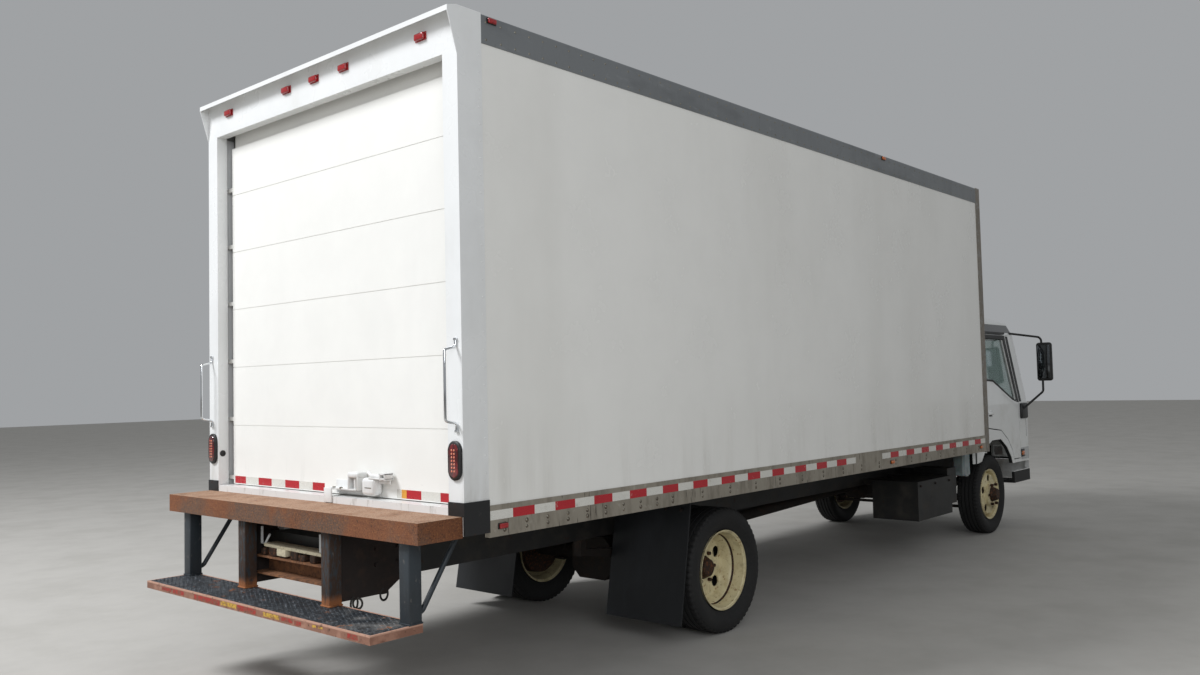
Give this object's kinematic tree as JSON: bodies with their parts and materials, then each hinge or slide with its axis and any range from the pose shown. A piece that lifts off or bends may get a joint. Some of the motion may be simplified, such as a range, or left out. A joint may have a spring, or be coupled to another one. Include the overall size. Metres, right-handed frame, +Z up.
{
  "type": "box truck",
  "caption": "Low-cab box truck with a dry van body, shut roll-up rear door, rear platform and lower step, hinged cab doors, steered front wheels and a tilting cab.",
  "frame": {"origin": "on the ground under the middle of the overall length and width, wheels resting on z = 0", "axes": "+X to the front of the truck, +Y to its left, +Z up"},
  "size_m": [9.012, 2.694, 3.4799],
  "materials": {
    "frame_steel": "satin",
    "axle_steel": "rough",
    "engine_metal": "rough",
    "exhaust_steel": "rough",
    "tank_metal": "satin",
    "bottle_plastic": "matte",
    "radiator_metal": "matte",
    "flap_rubber": "matte",
    "floor_wood": "worn",
    "panel_white": "gloss",
    "rail_aluminium": "satin",
    "post_paint": "satin",
    "header_paint": "gloss",
    "door_paint": "gloss",
    "latch_paint": "satin",
    "scuff_steel": "worn",
    "handle_chrome": "polished",
    "lamp_red": "gloss",
    "platform_rust": "rusty",
    "step_post_paint": "worn",
    "step_steel": "rusty",
    "hitch_steel": "worn",
    "bumper_paint": "gloss",
    "cab_paint": "gloss",
    "clear_glass": "clear",
    "lamp_lens": "clear",
    "grille_plastic": "matte",
    "mirror_plastic": "satin",
    "dash_plastic": "matte",
    "seat_fabric": "woven",
    "tyre_rubber": "matte",
    "wheel_paint": "worn"
  },
  "bodies": {
    "chassis": {"chassis_frame": "frame_steel", "front_axle": "axle_steel", "rear_axle": "axle_steel", "engine_block": "engine_metal", "driveline": "axle_steel", "exhaust": "exhaust_steel", "fuel_tank": "tank_metal", "battery_box": "tank_metal", "coolant_bottle": "bottle_plastic", "radiator": "radiator_metal", "mud_flaps": "flap_rubber", "box_floor": "floor_wood", "box_panels": "panel_white", "box_rails": "rail_aluminium", "front_posts": "rail_aluminium", "rear_posts": "post_paint", "rear_header": "header_paint", "roll_up_door": "door_paint", "door_latch": "latch_paint", "scuff_plates": "scuff_steel", "grab_handles": "handle_chrome", "lamps": "lamp_red", "rear_platform": "platform_rust", "step_posts": "step_post_paint", "rear_step": "step_steel", "tow_hitch": "hitch_steel", "front_bumper": "bumper_paint"},
    "cab": {"cab_shell": "cab_paint", "cab_glass": "clear_glass", "headlamps": "lamp_lens", "grille": "grille_plastic", "mirrors": "mirror_plastic", "dashboard": "dash_plastic", "steering_wheel": "dash_plastic", "seats": "seat_fabric"},
    "door_left": {"door_left": "cab_paint", "door_glass_left": "clear_glass"},
    "door_right": {"door_right": "cab_paint", "door_glass_right": "clear_glass"},
    "knuckle_left": {"knuckle_left": "axle_steel"},
    "knuckle_right": {"knuckle_right": "axle_steel"},
    "tie_rod": {"tie_rod": "axle_steel"},
    "front_wheel_left": {"front_wheel_left": "wheel_paint", "front_tyre_left": "tyre_rubber"},
    "front_wheel_right": {"front_wheel_right": "wheel_paint", "front_tyre_right": "tyre_rubber"},
    "rear_wheels_left": {"rear_wheels_left": "wheel_paint", "rear_tyres_left": "tyre_rubber"},
    "rear_wheels_right": {"rear_wheels_right": "wheel_paint", "rear_tyres_right": "tyre_rubber"}
  },
  "joints": [
    {"name": "cab_tilt", "type": "hinge", "parent": "chassis", "child": "cab", "pos_m": [4.316, 0, 0.72], "axis": [0, 1, 0], "range_deg": [0, 45]},
    {"name": "door_left_swing", "type": "hinge", "parent": "cab", "child": "door_left", "pos_m": [4.059, 1.026, 1.06], "axis": [0, 0, -1], "range_deg": [0, 70]},
    {"name": "door_right_swing", "type": "hinge", "parent": "cab", "child": "door_right", "pos_m": [4.059, -1.026, 1.06], "axis": [0, 0, 1], "range_deg": [0, 70]},
    {"name": "steer_left", "type": "hinge", "parent": "chassis", "child": "knuckle_left", "pos_m": [3.391, 0.71, 0.4055], "axis": [0, 0, 1], "range_deg": [-35, 35]},
    {"name": "steer_right", "type": "hinge", "parent": "chassis", "child": "knuckle_right", "pos_m": [3.391, -0.71, 0.4055], "axis": [0, 0, 1], "range_deg": [-35, 35]},
    {"name": "tie_rod_pivot", "type": "hinge", "parent": "knuckle_left", "child": "tie_rod", "pos_m": [3.201, 0.71, 0.282], "axis": [0, 0, 1], "range_deg": [-35, 35]},
    {"name": "front_left_spin", "type": "hinge", "parent": "knuckle_left", "child": "front_wheel_left", "pos_m": [3.391, 0.8325, 0.4055], "axis": [0, 1, 0], "continuous": true},
    {"name": "front_right_spin", "type": "hinge", "parent": "knuckle_right", "child": "front_wheel_right", "pos_m": [3.391, -0.8325, 0.4055], "axis": [0, 1, 0], "continuous": true},
    {"name": "rear_left_spin", "type": "hinge", "parent": "chassis", "child": "rear_wheels_left", "pos_m": [-1.689, 0.825, 0.4055], "axis": [0, 1, 0], "continuous": true},
    {"name": "rear_right_spin", "type": "hinge", "parent": "chassis", "child": "rear_wheels_right", "pos_m": [-1.689, -0.825, 0.4055], "axis": [0, 1, 0], "continuous": true}
  ],
  "couplings": [
    {"joint": "steer_right", "follows": "steer_left", "ratio": 1},
    {"joint": "tie_rod_pivot", "follows": "steer_left", "ratio": -1}
  ]
}
